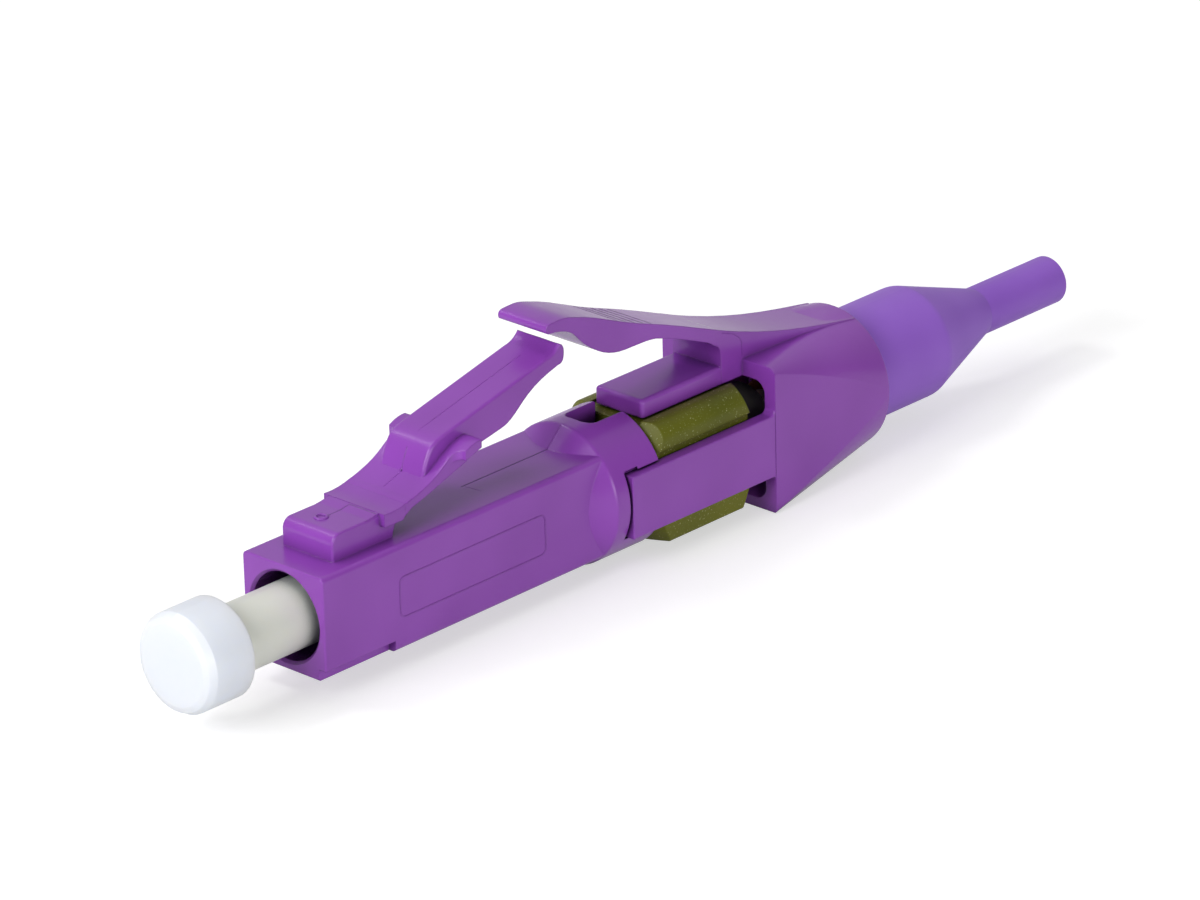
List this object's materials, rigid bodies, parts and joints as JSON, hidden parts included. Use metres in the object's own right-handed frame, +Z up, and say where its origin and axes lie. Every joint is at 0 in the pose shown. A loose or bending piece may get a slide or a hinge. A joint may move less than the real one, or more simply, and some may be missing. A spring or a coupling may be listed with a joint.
{
  "type": "splice-on LC fibre plug",
  "caption": "Small square fibre-optic plug with a flexing latch, trigger lever, round collar, cam sleeve, tapered housing, soft boot and dust cap.",
  "frame": {"origin": "centre of the plug's square front face, on the fibre's axis", "axes": "+X along the fibre axis, out of the mating end; +Z up, on the latch side; the boot runs toward -X"},
  "size_m": [0.0529, 0.0064, 0.0116],
  "materials": {
    "housing_violet": "satin",
    "boot_violet": "satin",
    "cam_olive": "matte",
    "cap_white": "gloss",
    "ceramic_white": "gloss",
    "glass_clear": "gloss",
    "holder_grey": "satin",
    "splice_clear": "gloss",
    "spring_steel": "polished",
    "tube_natural": "satin",
    "crimp_brass": "satin"
  },
  "bodies": {
    "housing": {"plug_shell": "housing_violet", "rear_housing": "housing_violet", "boot": "boot_violet", "spring_seat": "holder_grey", "spring": "spring_steel"},
    "latch": {"latch_arm": "housing_violet"},
    "trigger": {"trigger_lever": "housing_violet"},
    "ferrule_set": {"ferrule": "ceramic_white", "fibre_stub": "glass_clear", "ferrule_holder": "holder_grey", "splice_half_upper": "splice_clear", "splice_half_lower": "splice_clear", "cam": "cam_olive", "lead_in_tube": "tube_natural", "crimp_tube": "crimp_brass"},
    "cap": {"dust_cap": "cap_white"}
  },
  "joints": [
    {"name": "trigger_flex", "type": "hinge", "parent": "housing", "child": "trigger", "pos_m": [-0.02375, 0, 0.00487], "axis": [0, 1, 0], "range_deg": [0, 14], "stiffness_Nm_per_rad": 0.03},
    {"name": "latch_flex", "type": "hinge", "parent": "housing", "child": "latch", "pos_m": [-0.00545, 0, 0.00343], "axis": [0, -1, 0], "range_deg": [0, 15], "stiffness_Nm_per_rad": 0.03},
    {"name": "ferrule_float", "type": "slide", "parent": "housing", "child": "ferrule_set", "axis": [-1, 0, 0], "range_m": [0, 0.0009], "stiffness_N_per_m": 500, "deforming": ["spring"]},
    {"name": "cap_pull", "type": "slide", "parent": "ferrule_set", "child": "cap", "axis": [1, 0, 0], "range_m": [0, 0.008]}
  ],
  "couplings": [
    {"joint": "latch_flex", "follows": "trigger_flex", "ratio": 1}
  ]
}
